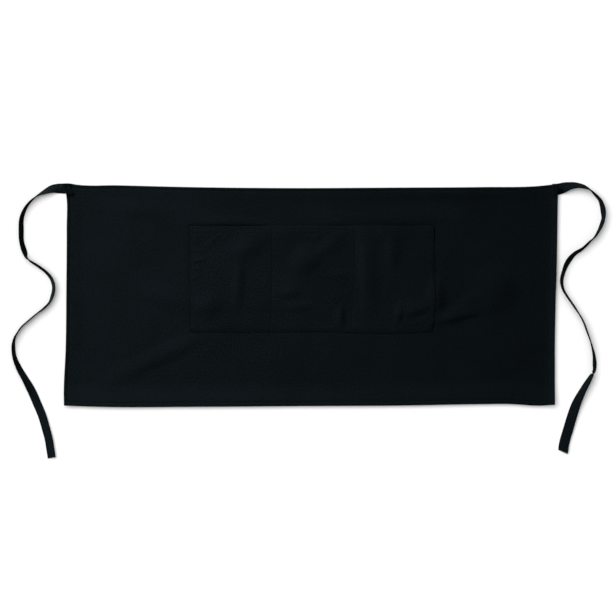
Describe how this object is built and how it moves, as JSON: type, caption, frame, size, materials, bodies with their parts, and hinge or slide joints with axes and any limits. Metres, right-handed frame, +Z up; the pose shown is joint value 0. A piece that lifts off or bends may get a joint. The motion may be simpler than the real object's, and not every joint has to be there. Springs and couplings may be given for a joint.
{
  "type": "waist apron",
  "caption": "Waist apron lying flat: a hemmed cloth panel with a wide patch pocket sewn into open pouches, and fabric ties at the top corners that fasten it round the waist.",
  "frame": {"origin": "middle of the panel's underside, on the surface that the apron lies on", "axes": "+X along the waist edge, to the right of the apron seen from the front; +Y towards the waist edge; +Z up, out of the front"},
  "size_m": [1.09, 0.5055, 0.0186],
  "materials": {
    "panel_cloth": "matt black cotton blend twill",
    "pocket_cloth": "matt black cotton blend twill",
    "tie_cloth": "matt black twill folded and stitched into a flat tie"
  },
  "bodies": {
    "root": {"apron_panel": "panel_cloth", "pocket": "pocket_cloth", "tie_left": "tie_cloth", "tie_right": "tie_cloth"}
  },
  "joints": []
}
